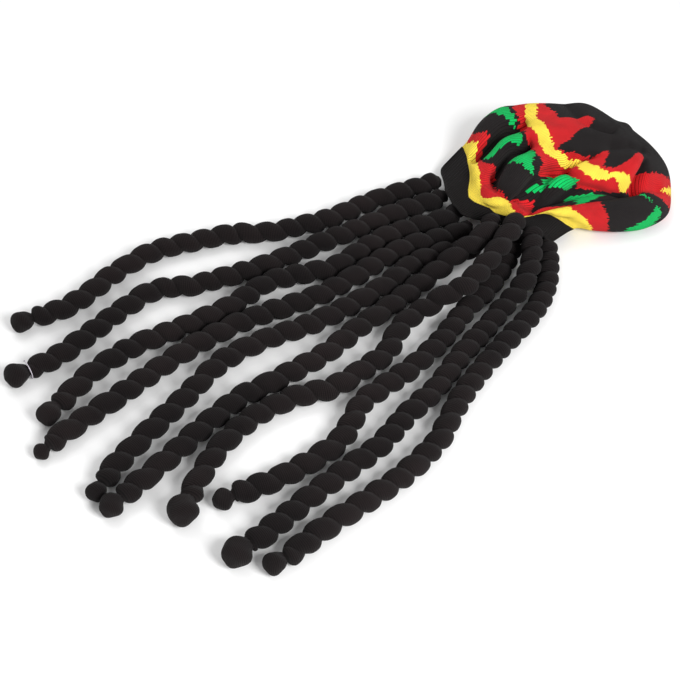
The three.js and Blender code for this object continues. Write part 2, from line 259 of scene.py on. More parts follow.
# Edges of the knitted stripes as (place round the ring, section). The stripes run from the seam to
# the crown's middle, and each has its colour up to its edge.
SEAM_EDGE = [
    (0.0, 1.25), (0.03, 1.5), (0.06, 1.5), (0.09, 1.25), (0.12, 1.05), (0.15, 0.8), (0.175, 0.72),
    (0.2, 0.85), (0.225, 1.05), (0.245, 1.08), (0.265, 0.82), (0.29, 0.7), (0.33, 0.68),
    (0.345, 0.95), (0.36, 1.22), (0.38, 1.18), (0.41, 1.0), (0.45, 0.88), (0.5, 0.85), (0.55, 0.95),
    (0.62, 1.0), (0.9, 1.0), (1.0, 1.25)]
STRIPE_EDGES = [
    dict(name="first_yellow", yarn=YELLOW, edge=[
        (0.0, 2.0), (0.03, 2.0), (0.045, 2.3), (0.06, 2.6), (0.075, 2.15), (0.1, 2.05),
        (0.13, 1.95), (0.16, 1.8), (0.185, 1.55), (0.2, 1.45), (0.212, 1.7), (0.22, 2.2),
        (0.235, 2.4), (0.25, 2.35), (0.27, 1.95), (0.29, 1.45), (0.305, 1.0), (0.32, 0.75),
        (0.333, 0.95), (0.345, 1.5), (0.355, 2.1), (0.375, 2.5), (0.395, 2.4), (0.42, 2.2),
        (0.46, 2.1), (0.5, 2.05), (0.54, 1.9), (0.58, 2.3), (0.62, 1.9), (0.67, 2.4), (0.72, 1.9),
        (0.77, 2.4), (0.82, 1.9), (0.87, 2.4), (0.92, 1.95), (0.96, 2.3), (1.0, 2.0)]),
    dict(name="first_red", yarn=RED, edge=[
        (0.0, 2.3), (0.02, 2.5), (0.045, 2.7), (0.055, 3.1), (0.068, 3.3), (0.075, 2.6),
        (0.08, 2.3), (0.1, 2.3), (0.115, 2.5), (0.13, 2.85), (0.145, 3.05), (0.155, 2.8),
        (0.165, 2.6), (0.19, 2.55), (0.22, 2.6), (0.24, 2.65), (0.248, 3.0), (0.258, 3.4),
        (0.27, 3.1), (0.285, 2.7), (0.3, 2.4), (0.315, 2.1), (0.33, 2.2), (0.35, 2.7), (0.37, 3.6),
        (0.39, 3.5), (0.41, 3.4), (0.44, 3.2), (0.48, 3.0), (0.52, 2.7), (0.54, 2.6), (0.57, 3.2),
        (0.62, 2.6), (0.67, 3.2), (0.72, 2.6), (0.77, 3.2), (0.82, 2.6), (0.87, 3.2), (0.92, 2.6),
        (0.96, 3.1), (1.0, 2.3)]),
    dict(name="first_black", yarn=BLACK, edge=[
        (0.0, 4.85), (0.03, 4.85), (0.06, 5.0), (0.08, 5.1), (0.1, 5.0), (0.14, 4.95), (0.175, 5.0),
        (0.2, 4.9), (0.215, 4.75), (0.228, 4.5), (0.238, 4.6), (0.243, 5.3), (0.252, 5.15),
        (0.265, 5.0), (0.28, 4.9), (0.295, 4.5), (0.302, 4.4), (0.31, 4.5), (0.325, 4.8),
        (0.34, 5.0), (0.35, 5.2), (0.365, 5.3), (0.39, 5.5), (0.405, 5.6), (0.42, 5.45),
        (0.45, 5.4), (0.5, 5.35), (0.54, 5.2), (0.58, 4.6), (0.63, 5.2), (0.68, 4.6), (0.73, 5.2),
        (0.78, 4.6), (0.83, 5.2), (0.88, 4.6), (0.94, 5.1), (1.0, 4.85)]),
    dict(name="second_red", yarn=RED, edge=[
        (0.0, 5.75), (0.03, 5.75), (0.05, 5.6), (0.075, 5.35), (0.1, 5.45), (0.13, 5.55),
        (0.16, 5.5), (0.19, 5.4), (0.205, 5.45), (0.215, 5.65), (0.225, 5.8), (0.235, 6.1),
        (0.25, 5.95), (0.265, 5.6), (0.28, 5.3), (0.295, 5.1), (0.305, 5.15), (0.32, 5.4),
        (0.335, 5.65), (0.345, 5.6), (0.355, 5.4), (0.365, 5.25), (0.37, 5.35), (0.378, 5.85),
        (0.47, 5.85), (0.5, 5.85), (0.54, 5.9), (0.6, 5.8), (0.7, 5.75), (0.8, 5.75), (0.9, 5.7),
        (1.0, 5.75)]),
    dict(name="second_yellow", yarn=YELLOW, edge=[
        (0.0, 6.3), (0.03, 6.3), (0.06, 6.2), (0.08, 6.05), (0.1, 6.2), (0.13, 6.2), (0.16, 6.15),
        (0.19, 6.0), (0.2, 6.1), (0.22, 6.2), (0.24, 6.3), (0.26, 6.2), (0.28, 6.0), (0.3, 5.85),
        (0.32, 5.8), (0.335, 5.95), (0.35, 6.05), (0.365, 6.0), (0.375, 5.84), (0.47, 5.84),
        (0.5, 6.1), (0.54, 6.22), (0.6, 6.25), (0.7, 6.25), (0.8, 6.25), (0.9, 6.25), (1.0, 6.3)]),
    dict(name="third_red", yarn=RED, edge=[
        (0.0, 6.4), (0.03, 6.6), (0.045, 6.7), (0.06, 6.95), (0.07, 7.0), (0.078, 6.9), (0.08, 8.0),
        (0.09, 8.15), (0.1, 8.15), (0.12, 8.0), (0.14, 7.6), (0.15, 7.2), (0.16, 7.0), (0.17, 6.7),
        (0.18, 6.35), (0.19, 6.1), (0.2, 6.2), (0.215, 6.4), (0.235, 6.45), (0.25, 6.7),
        (0.265, 7.2), (0.275, 7.0), (0.285, 6.6), (0.3, 6.1), (0.31, 6.0), (0.325, 6.2),
        (0.335, 6.8), (0.345, 7.2), (0.36, 7.4), (0.375, 7.3), (0.385, 6.9), (0.39, 6.35),
        (0.42, 6.4), (0.46, 6.45), (0.5, 6.5), (0.54, 6.45), (0.58, 7.3), (0.63, 6.4), (0.68, 7.3),
        (0.73, 6.4), (0.78, 7.3), (0.83, 6.4), (0.88, 7.4), (0.93, 6.5), (0.97, 6.9), (1.0, 6.4)]),
]

RAGGED_EDGE = 0.05  # a wale carries its colour up to this much further, or less far
RAGGED_STEPS = [-1, -0.4, 0.3, 1]
GREEN_RAGGED = 1.5

# Green patches in the first black stripe, as outlines in the same two measures.
GREEN_PATCHES = [
    [(0.0, 3.3), (0.018, 3.3), (0.032, 3.6), (0.044, 3.95), (0.056, 4.25), (0.068, 4.5),
     (0.071, 4.8), (0.062, 4.85), (0.045, 4.7), (0.02, 4.35), (0.0, 4.2)],
    [(0.083, 2.9), (0.095, 2.45), (0.11, 2.7), (0.115, 3.4), (0.118, 4.0), (0.125, 4.5),
     (0.115, 4.7), (0.085, 4.8), (0.082, 4.3), (0.088, 3.8), (0.083, 3.2)],
    [(0.163, 3.5), (0.18, 3.6), (0.195, 3.8), (0.2, 3.95), (0.225, 3.95), (0.23, 4.1), (0.21, 4.4),
     (0.19, 4.7), (0.175, 4.92), (0.145, 4.85), (0.142, 4.7), (0.15, 4.3), (0.157, 3.9)],
    [(0.245, 3.3), (0.255, 3.6), (0.258, 4.0), (0.27, 3.85), (0.285, 3.85), (0.295, 4.1),
     (0.293, 4.45), (0.285, 4.8), (0.27, 4.95), (0.255, 5.1), (0.24, 5.35), (0.237, 5.0),
     (0.243, 4.5), (0.249, 4.1)],
    [(0.305, 3.6), (0.32, 3.55), (0.34, 3.4), (0.36, 3.15), (0.37, 3.3), (0.36, 3.7), (0.35, 4.1),
     (0.345, 4.6), (0.335, 4.65), (0.32, 4.45), (0.31, 4.0)],
    [(0.375, 5.3), (0.4, 5.1), (0.43, 5.0), (0.455, 4.9), (0.45, 5.0), (0.42, 5.15), (0.4, 5.35),
     (0.385, 5.4)],
    [(0.47, 4.95), (0.485, 4.5), (0.5, 4.1), (0.51, 3.8), (0.53, 3.3), (0.545, 3.2), (0.55, 3.8),
     (0.54, 4.2), (0.52, 4.5), (0.5, 4.75), (0.48, 4.95)],
]
# The side that lies down carries the same green as an even zigzag.
HIDDEN_GREEN = dict(start=0.56, end=0.98, points=4, high=3.7, low=4.5, half_width=0.3, margin=0.1)

# Routes of the locks, from the band to the knot, in mm, with each knot's diameter and the length of
# one turn of the coil at the band and at the knot.
LOCKS = [
    dict(name="lock_01", knot=26, coil=(25, 25.5), route=[
        (-145, 4, 13), (-163, -4, 13), (-185, -14, 13), (-210, -25, 13), (-235, -37, 13),
        (-260, -53, 13), (-285, -68, 13), (-309, -77, 13), (-354, -91, 13), (-401, -95, 13),
        (-448, -109, 13), (-493, -126, 13), (-536, -165, 13), (-560, -196, 13), (-583, -218, 13),
        (-616, -234, 13)]),
    dict(name="lock_02", knot=28, coil=(25, 24), route=[
        (-139, -26, 13), (-175, -44, 13), (-199, -55, 13), (-243, -82, 13), (-286, -106, 13),
        (-329, -132, 13), (-376, -157, 13), (-421, -175, 13), (-444, -183, 13), (-467, -185, 13),
        (-489, -193, 13), (-509, -212, 13), (-529, -234, 13), (-567, -279, 13), (-586, -297, 13),
        (-607, -311, 13)]),
    dict(name="lock_03", knot=27, coil=(25, 24.5), route=[
        (-121, -57, 17), (-143, -68, 14), (-173, -79, 13), (-197, -90, 13), (-219, -102, 13),
        (-239, -118, 13), (-258, -135, 13), (-278, -152, 13), (-303, -160, 13), (-328, -167, 13),
        (-354, -177, 13), (-390, -211, 13), (-415, -229, 13), (-460, -255, 13), (-501, -279, 13),
        (-535, -311, 13), (-550, -332, 13), (-568, -360, 13)]),
    dict(name="lock_04", knot=18, coil=(25, 25), route=[
        (-113, -86, 19.1), (-131, -95, 14), (-159, -106, 13), (-185, -114, 13), (-207, -128, 13),
        (-226, -143, 13), (-247, -162, 13), (-287, -193, 13), (-327, -214, 13), (-352, -225, 13),
        (-391, -246, 13), (-434, -278, 13), (-470, -312, 13), (-507, -349, 13), (-543, -384, 13),
        (-569, -411, 13)]),
    dict(name="lock_05", knot=22, coil=(25, 25), route=[
        (-87, -98, 16.6), (-119, -123, 14), (-144, -128, 15), (-165, -136, 14), (-184, -146, 13),
        (-200, -162, 13), (-216, -180, 13), (-259, -214, 13), (-298, -240, 13), (-346, -263, 13),
        (-369, -276, 13), (-388, -289, 13), (-406, -307, 13), (-437, -353, 13), (-468, -395, 13),
        (-495, -435, 13), (-507, -458, 13)]),
    dict(name="lock_06", knot=26, coil=(25, 25), route=[
        (-87, -99, 43), (-95, -117, 42), (-109, -134, 40), (-131, -149, 35), (-154, -165, 24),
        (-180, -183, 14), (-207, -209, 13), (-250, -249, 13), (-286, -287, 13), (-329, -318, 13),
        (-353, -335, 13), (-376, -349, 13), (-410, -386, 13), (-443, -427, 13), (-486, -476, 13)]),
    dict(name="lock_07", knot=33, coil=(24, 25), route=[
        (-61, -104, 46.5), (-69, -124, 50), (-83, -148, 48), (-100, -173, 45), (-127, -207, 40),
        (-149, -214, 32), (-169, -221, 20), (-189, -232, 14), (-206, -255, 13), (-218, -284, 13),
        (-239, -305, 13), (-277, -335, 13), (-302, -343, 13), (-323, -351, 13), (-362, -377, 13),
        (-393, -415, 13), (-414, -461, 13), (-419, -478, 13)]),
    dict(name="lock_08", knot=23, coil=(20, 25), route=[
        (-59, -103, 20), (-66, -125, 14), (-83, -160, 13), (-103, -193, 13), (-125, -218, 13),
        (-159, -269, 13), (-193, -308, 13), (-230, -340, 13), (-247, -357, 13), (-257, -380, 13),
        (-270, -406, 13), (-290, -425, 13), (-312, -441, 13), (-335, -455, 13), (-354, -464, 13),
        (-375, -473, 13)]),
    dict(name="lock_09", knot=32, coil=(19, 23.5), route=[
        (-40.5, -111.5, 34), (-45, -131, 35), (-47, -151, 33), (-52, -174, 30), (-63, -195, 24),
        (-74, -207, 17), (-88, -222, 13), (-104, -246, 13), (-137, -289, 13), (-167, -336, 13),
        (-200, -373, 13), (-229, -412, 13), (-265, -444, 13), (-300, -476, 13), (-333, -509, 13),
        (-356, -530, 13)]),
    dict(name="lock_10", knot=24, coil=(17, 25.5), route=[
        (-23, -111.4, 13), (-23, -133, 13), (-26, -157, 13), (-32, -186, 13), (-45, -215, 13),
        (-62, -240, 13), (-79, -261, 13), (-110, -301, 13), (-140, -346, 13), (-159, -386, 13),
        (-170, -408, 13), (-203, -446, 13), (-240, -477, 13), (-282, -509, 13), (-308, -533, 13),
        (-322, -543, 13)]),
]


def catmull_rom(before, start, end, after, t):
    """Uniform Catmull-Rom between start and end."""
    return 0.5 * (
        2 * start + (end - before) * t + (2 * before - 5 * start + 4 * end - after) * t**2
        + (3 * start - before - 3 * end + after) * t**3)


def on_open_curve(points, place):
    """Points on an open curve through points; place counts in spans and may be an array."""
    before_first = 2 * points[:1] - points[1:2]
    after_last = 2 * points[-1:] - points[-2:-1]
    padded = np.concatenate([before_first, points, after_last])
    span = np.clip(np.floor(place).astype(int), 0, len(points) - 2)
    t = (place - span)[..., None]
    return catmull_rom(padded[span], padded[span + 1], padded[span + 2], padded[span + 3], t)


def smoothstep(value):
    t = np.clip(value, 0, 1)
    return t * t * (3 - 2 * t)


def material_nodes(name):
    material = bpy.data.materials.new(name)
    material.use_nodes = True
    nodes = material.node_tree.nodes
    return material, nodes, material.node_tree.links, nodes["Principled BSDF"]


def math_node(nodes, links, operation, first, second=None, third=None):
    """A Math node; an input may be a number or a socket."""
    node = nodes.new("ShaderNodeMath")
    node.operation = operation
    for socket, value in zip(node.inputs, (first, second, third)):
        if value is None:
            continue
        if isinstance(value, (int, float)):
            socket.default_value = value
        else:
            links.new(value, socket)
    return node.outputs[0]


def calculator(nodes, links):
    """math_node for one material, in short."""
    return lambda operation, *inputs: math_node(nodes, links, operation, *inputs)


def noise(nodes, links, scale, detail=4.0):
    place = nodes.new("ShaderNodeTexCoord")
    node = nodes.new("ShaderNodeTexNoise")
    node.inputs["Scale"].default_value = scale
    node.inputs["Detail"].default_value = detail
    links.new(place.outputs["Object"], node.inputs["Vector"])
    return node.outputs["Fac"]


def yarn_shader(nodes, links, shader, colour, height, bump_depth, fibre_scale=FIBRE_SCALE):
    """Finishes a knit material: yarn colour with uneven shade, with painted shade in the knit's hollows and
    painted light on its tops, and relief from height plus loose fibres.
    """
    calc = calculator(nodes, links)
    least = 1 - SHADE_SWING / 2
    shade = calc("MULTIPLY_ADD", noise(nodes, links, SHADE_SCALE), SHADE_SWING, least)
    fibre = noise(nodes, links, fibre_scale, 2.0)
    fine = calc("MULTIPLY_ADD", fibre, SHADE_SWING, least)
    # Painted shade and light: the colour is darkened in the hollows of the knit and brightened on its tops,
    # following the height of the relief.
    painted_knit_shade = calc("MULTIPLY_ADD", height, PAINTED_LIGHT_ON_TOPS, PAINTED_SHADE_IN_HOLLOWS)
    tone_and_painted_shade = nodes.new("ShaderNodeVectorMath")
    tone_and_painted_shade.operation = "SCALE"
    links.new(colour, tone_and_painted_shade.inputs[0])
    links.new(calc("MULTIPLY", calc("MULTIPLY", shade, fine), painted_knit_shade), tone_and_painted_shade.inputs["Scale"])
    links.new(tone_and_painted_shade.outputs[0], shader.inputs["Base Color"])
    bump = nodes.new("ShaderNodeBump")
    bump.inputs["Strength"].default_value = 0.8
    bump.inputs["Distance"].default_value = bump_depth
    links.new(calc("MULTIPLY_ADD", fibre, FIBRE_RELIEF, height), bump.inputs["Height"])
    links.new(bump.outputs["Normal"], shader.inputs["Normal"])
    shader.inputs["Roughness"].default_value = 0.92
    shader.inputs["Specular IOR Level"].default_value = 0.12
    shader.inputs["Sheen Weight"].default_value = 0.03
    shader.inputs["Sheen Roughness"].default_value = 0.6


def stitch_count(nodes, links):
    """The two measures of the UV map."""
    uv = nodes.new("ShaderNodeUVMap")
    split = nodes.new("ShaderNodeSeparateXYZ")
    links.new(uv.outputs[0], split.inputs[0])
    return split.outputs["X"], split.outputs["Y"]


def stitch_height(nodes, links):
    """Relief of plain knit: each stitch is a V of two legs. The UV map counts stitches."""
    calc = calculator(nodes, links)
    wale, course = stitch_count(nodes, links)
    from_middle = calc("ABSOLUTE", calc("SUBTRACT", calc("FRACT", wale), 0.5))
    off_leg = calc("MULTIPLY", calc("SUBTRACT", from_middle, 0.25), 4.0)
    leg = calc("MULTIPLY_ADD", calc("MULTIPLY", off_leg, off_leg), -LEG_HOLLOW, 1.0)
    edge = calc("POWER", calc("MULTIPLY", from_middle, 2.0), 4.0)
    wale_round = calc("SUBTRACT", 1.0, edge)
    slanted = calc("MULTIPLY_ADD", from_middle, LEG_SLANT, course)
    wave = calc("COSINE", calc("MULTIPLY", slanted, 2 * math.pi))
    loops = calc("MULTIPLY_ADD", wave, LOOP_RELIEF, 1 - LOOP_RELIEF)
    return calc("MULTIPLY", wale_round, calc("MULTIPLY", leg, loops))


def crown_material():
    """Stitches in the colours that the mesh carries."""
    material, nodes, links, shader = material_nodes("crown_knit")
    colour = nodes.new("ShaderNodeAttribute")
    colour.attribute_name = "yarn"
    height = stitch_height(nodes, links)
    yarn_shader(nodes, links, shader, colour.outputs["Color"], height, CROWN_KNIT_DEPTH)
    return material


def plain_colour(nodes, colour):
    node = nodes.new("ShaderNodeRGB")
    node.outputs[0].default_value = (*colour, 1)
    return node.outputs[0]


def band_material():
    material, nodes, links, shader = material_nodes("band_knit")
    colour = plain_colour(nodes, BAND_BLACK)
    yarn_shader(nodes, links, shader, colour, stitch_height(nodes, links), BAND_KNIT_DEPTH)
    return material


def lock_material():
    """Fine knit tube. The UV map counts rings along a lock and ribs round it."""
    material, nodes, links, shader = material_nodes("lock_knit")
    calc = calculator(nodes, links)
    ring_count, rib_count = stitch_count(nodes, links)
    ring = calc("COSINE", calc("MULTIPLY", ring_count, 2 * math.pi))
    rib = calc("COSINE", calc("MULTIPLY", rib_count, 2 * math.pi))
    height = calc("MULTIPLY_ADD", ring, RING_RELIEF, calc("MULTIPLY_ADD", rib, RIB_RELIEF, 0.5))
    ramp = nodes.new("ShaderNodeValToRGB")
    black, brown = ramp.color_ramp.elements
    black.position, brown.position = LOCK_PATCH_ENDS
    black.color = (*LOCK_BLACK, 1)
    brown.color = (*LOCK_BROWN, 1)
    links.new(noise(nodes, links, LOCK_PATCH_SCALE, 2.0), ramp.inputs[0])
    yarn_shader(nodes, links, shader, ramp.outputs[0], height, LOCK_KNIT_DEPTH, LOCK_FIBRE_SCALE)
    return material


def thread_material():
    material, nodes, links, shader = material_nodes("pale_thread")
    height = noise(nodes, links, THREAD_FIBRE_SCALE, 2.0)
    yarn_shader(nodes, links, shader, plain_colour(nodes, PALE_THREAD), height, THREAD_DEPTH)
    return material


def floor_material():
    material, _, _, shader = material_nodes("pale_floor")
    shader.inputs["Base Color"].default_value = (0.86, 0.86, 0.86, 1)
    shader.inputs["Roughness"].default_value = 0.7
    return material


def new_object(name, mesh, material):
    piece = bpy.data.objects.new(name, mesh)
    bpy.context.scene.collection.objects.link(piece)
    mesh.materials.append(material)
    mesh.shade_smooth()
    return piece


def strip_mesh(name, points, uv=None, caps=False, middle=None):
    """A mesh of quads through rows of points, closed round each row.

    Both ends are closed by caps if asked, and the last row by a fan if its middle is given.
    """
    rows, columns = points.shape[:2]
    row, column = np.meshgrid(np.arange(rows - 1), np.arange(columns), indexing="ij")
    beside = (column + 1) % columns
    low, high = row * columns, (row + 1) * columns
    quads = np.stack([low + column, low + beside, high + beside, high + column], -1)
    vertices = points.reshape(-1, 3)
    faces = quads.reshape(-1, 4).tolist()
    last_row = (rows - 1) * columns
    if caps:
        middles = [points[0].mean(0), points[-1].mean(0)]
        vertices = np.concatenate([vertices, middles])
        first, last = rows * columns, rows * columns + 1
        for i in range(columns):
            j = (i + 1) % columns
            faces.append([j, i, first])
            faces.append([last_row + i, last_row + j, last])
    if middle is not None:
        vertices = np.concatenate([vertices, middle[None]])
        for i in range(columns):
            faces.append([last_row + i, last_row + (i + 1) % columns, rows * columns])
    mesh = bpy.data.meshes.new(name)
    mesh.from_pydata(vertices.tolist(), [], faces)
    if uv is not None:
        corners = uv(row, column).reshape(-1, 2)
        layer = mesh.uv_layers.new(name="stitches")
        padded = np.zeros((len(mesh.loops), 2))
        padded[:len(corners)] = corners
        layer.data.foreach_set("uv", padded.ravel())
    mesh.update()
    return mesh


def quad_corners(row, column):
    """Row and column numbers at the four corners of each quad, without wrapping round."""
    rows_at = np.stack([row, row, row + 1, row + 1], -1)
    columns_at = np.stack([column, column + 1, column + 1, column], -1)
    return rows_at, columns_at


# Camera


def add_camera():
    data = bpy.data.cameras.new("camera")
    data.lens = CAMERA_LENS
    data.sensor_width = 36
    data.clip_start = 0.05
    camera = bpy.data.objects.new("camera", data)
    camera.location = CAMERA_PLACE
    camera.rotation_euler = (math.pi / 2 - CAMERA_PITCH, 0, 0)
    bpy.context.scene.collection.objects.link(camera)
    bpy.context.scene.camera = camera


# Locks and knots


def lock_line(route):
    """Evenly spaced points through the middle of a lock."""
    points = np.array(route, float) * MM + ORIGIN_SHIFT
    dense = on_open_curve(points, np.linspace(0, len(points) - 1, DENSE_POINTS))
    run = np.concatenate([[0], np.cumsum(np.linalg.norm(np.diff(dense, axis=0), axis=1))])
    count = int(run[-1] / LOCK_STEP) + 1
    even = np.linspace(0, run[-1], count)
    return np.stack([np.interp(even, run, dense[:, k]) for k in range(3)], -1), even


def directions(line):
    """Along, sideways and up directions at each point of a line."""
    along = np.gradient(line, axis=0)
    along /= np.linalg.norm(along, axis=1)[:, None]
    side = np.cross(along, [0, 0, 1.0])
    side /= np.linalg.norm(side, axis=1)[:, None]
    return along, side, np.cross(side, along)


def slow_waves(run, random, count=5, longest=0.16):
    """Smooth uneven waves along a lock, between about -1 and 1."""
    total = np.zeros_like(run)
    for i in range(count):
        phase = random.uniform(0, 2 * math.pi)
        total += np.sin(2 * math.pi * run / (longest / (1 + i)) + phase) / (1 + 0.5 * i)
    return total / 2


def lock_piece(lock, material, random):
    """One coiled lock, with a tapered root and a round tip."""
    line, run = lock_line(lock["route"])
    along, side, up = directions(line)
    length = run[-1]
    at_band, at_knot = np.array(lock["coil"]) * MM
    pitch = at_band + (at_knot - at_band) * (run / length) ** COIL_EASING
    turns = np.cumsum(LOCK_STEP / pitch)
    wander = COIL_WANDER * slow_waves(run, random)
    twist = 2 * math.pi * (turns + wander) + random.uniform(0, 2 * math.pi)
    fullness = 1 + UNEVEN_FULLNESS * slow_waves(run, random, 7, 0.11)
    root = smoothstep(run / ROOT["taper"])
    to_end = np.clip((length - run) / TIP["taper"], 0, 1)
    tip = np.sqrt(1 - (1 - to_end) ** 2)
    fullness *= (ROOT["share"] + (1 - ROOT["share"]) * root) * (TIP["share"] + (1 - TIP["share"]) * tip)
    columns = LOCK_POINTS_ROUND
    # The columns follow the coil; the first lies in its crease.
    local = (np.arange(columns) / columns * 2 - 1) * math.pi
    reach = LOCK_DIAMETER / 2 - CREASE_DEPTH * np.abs(local / math.pi) ** CREASE_POWER
    angle = twist[:, None] + local[None]
    radius = fullness[:, None] * reach[None]
    points = (
        line[:, None] + side[:, None] * (np.cos(angle) * radius)[..., None]
        - up[:, None] * (np.sin(angle) * radius)[..., None])
    root_end = line[0] - along[0] * ROOT["beyond"] + ROOT["closing"] * (points[:1] - line[0])
    tip_end = line[-1] + along[-1] * TIP["beyond"] + TIP["closing"] * (points[-1:] - line[-1])
    points = np.concatenate([root_end, points, tip_end])
    points[..., 2] = np.maximum(points[..., 2], OFF_FLOOR)

    def uv(row, column):
        rows_at, columns_at = quad_corners(row, column)
        turned = turns[np.clip(rows_at - 1, 0, len(turns) - 1)] + columns_at / columns
        ring = rows_at * LOCK_STEP / KNIT_RING
        rib = turned * round(math.pi * LOCK_DIAMETER / LOCK_RIB)
        return np.stack([ring, rib], -1)

    mesh = strip_mesh(lock["name"] + "_twist", points, uv, caps=True)
    return new_object(mesh.name, mesh, material), line, along[-1], length


def level_direction(ahead):
    level = np.array([ahead[0], ahead[1], 0.0])
    return level / np.linalg.norm(level)


def knot_piece(lock, line, ahead, material, random):
    """The tied end of a lock: a ball with slanting folds, flattened where it lies."""
    radius = lock["knot"] * MM / 2
    middle = line[-1] + ahead * (radius + KNOT_GAP)
    middle[2] = radius
    up = np.array([0, 0, 1.0])
    side = np.cross(ahead, up)
    rows, columns = KNOT_ROWS, KNOT_POINTS_ROUND
    polar = np.linspace(POLE, math.pi - POLE, rows)[:, None]
    turn = (np.arange(columns) / columns * 2 * math.pi)[None]
    phase = random.uniform(0, 2 * math.pi)

    def wave(folds):
        return folds["height"] * np.sin(folds["count"] * turn + folds["slant"] * polar + phase)

    near_lock = np.exp(-(((polar - KNOT_PUCKERS["place"]) / KNOT_PUCKERS["place"]) ** 2))
    uneven = wave(KNOT_FOLDS) * np.sin(polar) + wave(KNOT_PUCKERS) * near_lock
    reach = radius * (KNOT_FULLNESS + uneven - KNOT_SQUARENESS * np.cos(2 * polar))
    # The neck reaches back to the end of the lock.
    neck = np.exp(-((polar / KNOT_NECK["angle"]) ** 2))
    x = -np.cos(polar) * reach - KNOT_NECK["reach"] * neck
    ring = np.hypot(np.sin(polar) * reach, KNOT_NECK["radius"] * radius * neck)
    y = np.cos(turn) * ring
    z = np.sin(turn) * ring
    points = middle + x[..., None] * ahead + y[..., None] * side + z[..., None] * up
    points[..., 2] = np.clip(points[..., 2], OFF_FLOOR, 2 * radius)

    def uv(row, column):
        rows_at, columns_at = quad_corners(row, column)
        slanted = rows_at / rows * math.pi + columns_at / columns * KNOT_WINDING
        ring = slanted * radius / KNIT_RING
        rib = np.round(2 * math.pi * radius / KNOT_RIB) * columns_at / columns
        return np.stack([ring, rib], -1)

    mesh = strip_mesh(lock["name"].replace("lock", "knot") + "_tied", points[:, ::-1], uv, caps=True)
    return new_object(mesh.name, mesh, material)


def thread_piece(middle, ahead):
    """A loose pale thread wound round the end of a lock, open where its ends part."""
    side = np.cross(ahead, [0, 0, 1.0])
    up = np.cross(side, ahead)
    first, last = THREAD_OPENING
    turn = np.linspace(first, 2 * math.pi - last, THREAD_ROWS)[:, None, None]
    around = (np.arange(THREAD_POINTS_ROUND) / THREAD_POINTS_ROUND * 2 * math.pi)[None, :, None]
    outward = np.cos(turn) * side + np.sin(turn) * up
    radius = THREAD_RING + THREAD_WAVE * np.sin(3 * turn)
    rim = np.cos(around) * outward + np.sin(around) * ahead
    points = middle + outward * radius + THREAD_RADIUS * rim
    points[..., 2] = np.maximum(points[..., 2], OFF_FLOOR)
    mesh = strip_mesh("thread_02", points, caps=True)
    return new_object("thread_02", mesh, thread_material())


def add_locks():
    knit = lock_material()
    random = np.random.default_rng(4)
    for lock in LOCKS:
        piece, line, ahead, length = lock_piece(lock, knit, random)
        ahead = level_direction(ahead)
        knot = knot_piece(lock, line, ahead, knit, random)
        knot_node = lock["name"].replace("lock", "knot")
        for thing, node in ((piece, lock["name"]), (knot, knot_node)):
            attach(thing, "root")
            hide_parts(node)
        if lock["name"] == THREADED_LOCK:
            thread = thread_piece(line[-1], ahead)
            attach(thread, "root")


# Cap


def ring_points(section):
    """The nine points of one section, in order round the cap."""
    at = {}
    for name in STATIONS:
        at[name] = np.array(section[name]) * [HALF_LENGTH, HALF_DEPTH, CAP_HEIGHT]

    def beside_under(end):
        point = end + (at["under"] - end) * UNDER_PULL
        point[2] = min(point[2], at["under"][2])
        return point

    outer = [at[name] for name in STATIONS[:6]]
    return np.array(outer + [beside_under(at["front"]), at["under"], beside_under(at["back"])])


RINGS = np.array([ring_points(section) for section in SECTIONS.values()])


def pressed_down(points):
    """Folds press the upper side of the cap down."""
    drop = np.zeros(points.shape[:-1])
    for fold in FOLDS:
        start = np.array(fold["start"]) * [HALF_LENGTH, HALF_DEPTH]
        end = np.array(fold["end"]) * [HALF_LENGTH, HALF_DEPTH]
        length = np.linalg.norm(end - start)
        along = (end - start) / length
        offset = points[..., :2] - start
        across = offset[..., 0] * along[1] - offset[..., 1] * along[0]
        distance = across / (fold["half_width"] * HALF_DEPTH)
        run = offset @ along
        ends = smoothstep(np.minimum(run, length - run) / (FOLD_END * HALF_DEPTH) + 1)
        drop += fold["depth"] * CAP_HEIGHT * np.exp(-distance**2) * ends
    share = points[..., 2] / CAP_HEIGHT
    none, full = FOLD_FLOOR
    grown = np.clip((share - none) / (full - none), 0, 1)
    folded = points.copy()
    folded[..., 2] = np.maximum(points[..., 2] - drop * grown, 0)
    return folded


def cap_points(section, around):
    """Outer surface of the cap at arrays of section and of place round the ring."""
    shape = section.shape
    turn = (around.ravel() % 1) * RINGS.shape[1]
    low = np.floor(turn).astype(int)
    t = (turn - low)[None, :, None]
    count = RINGS.shape[1]
    picked = [RINGS[:, (low + k) % count] for k in (-1, 0, 1, 2)]
    on_rings = catmull_rom(*picked, t)
    before_first = 2 * on_rings[:1] - on_rings[1:2]
    after_last = 2 * on_rings[-1:] - on_rings[-2:-1]
    padded = np.concatenate([before_first, on_rings, after_last])
    place = section.ravel()
    span = np.clip(np.floor(place).astype(int), 0, LAST_SECTION - 1)
    each = np.arange(len(place))
    corners = [padded[span + k, each] for k in range(4)]
    points = catmull_rom(*corners, (place - span)[:, None])
    return pressed_down(points).reshape(*shape, 3) + ORIGIN_SHIFT


def distance_to_line(line, across, along):
    """Distance in mm from each stitch to a line given in places and sections."""
    nearest = np.full(across.shape, 1e9)
    points = np.array(line) * [ROUND_RING, ONE_SECTION]
    for start, end in zip(points[:-1], points[1:]):
        step = end - start
        t = ((across - start[0]) * step[0] + (along - start[1]) * step[1]) / (step @ step)
        t = np.clip(t, 0, 1)
        gap = np.hypot(across - start[0] - t * step[0], along - start[1] - t * step[1])
        nearest = np.minimum(nearest, gap)
    return nearest


